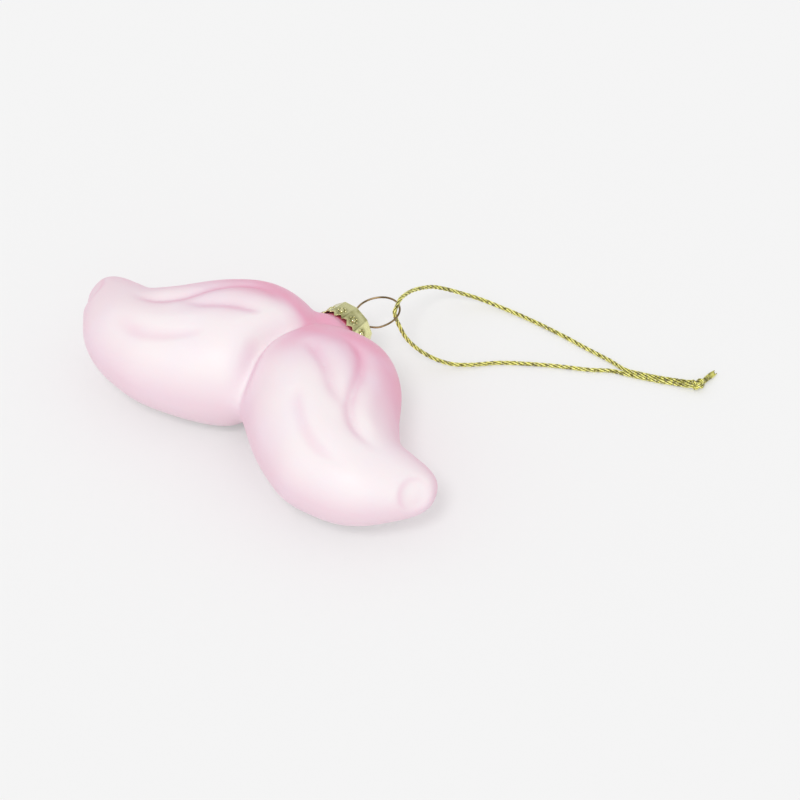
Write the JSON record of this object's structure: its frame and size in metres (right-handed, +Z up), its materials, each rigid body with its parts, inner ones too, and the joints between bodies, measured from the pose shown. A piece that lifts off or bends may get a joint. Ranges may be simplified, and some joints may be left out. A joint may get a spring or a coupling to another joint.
{
  "type": "christmas bauble",
  "caption": "Hollow blown-glass bauble in the form of a moustache, lying on its back, with a turning metal cap, a wire hanging loop that draws up through it, and a knotted gold cord.",
  "frame": {"origin": "middle of the glass, cap and wire loop seen from above, on the table that the bauble lies on", "axes": "+X along the two lobes, +Y from the lobes to the cap and the wire loop, +Z up from the table"},
  "size_m": [0.1107, 0.102, 0.0283],
  "materials": {
    "lacquered_glass": "satin pearl lacquer, near white in the middle and deeper pink at the edges and by the cap",
    "cap_metal": "thin stamped sheet, pale gold lacquer, satin",
    "hanger_metal": "spring wire with a dull brass plating",
    "gold_cord": "metallic gold thread cord"
  },
  "bodies": {
    "glass": {"glass_body": "lacquered_glass"},
    "cap": {"crown_cap": "cap_metal"},
    "hanger": {"hanger_wire": "hanger_metal"},
    "cord": {"cord_strand_upper": "gold_cord", "cord_strand_lower": "gold_cord", "cord_knot": "gold_cord", "cord_tail_long": "gold_cord", "cord_tail_short": "gold_cord"}
  },
  "joints": [
    {"name": "cap_turn", "type": "hinge", "parent": "glass", "child": "cap", "pos_m": [0, 0.0158, 0.01407], "axis": [0, 1, 0], "continuous": true},
    {"name": "hanger_draw", "type": "slide", "parent": "cap", "child": "hanger", "axis": [0, 1, 0], "range_m": [0, 0.003]},
    {"name": "cord_swing", "type": "hinge", "parent": "hanger", "child": "cord", "pos_m": [0.0046, 0.02796, 0.01518], "axis": [0.7431, -0.6691, 0], "range_deg": [-15, 120]}
  ]
}
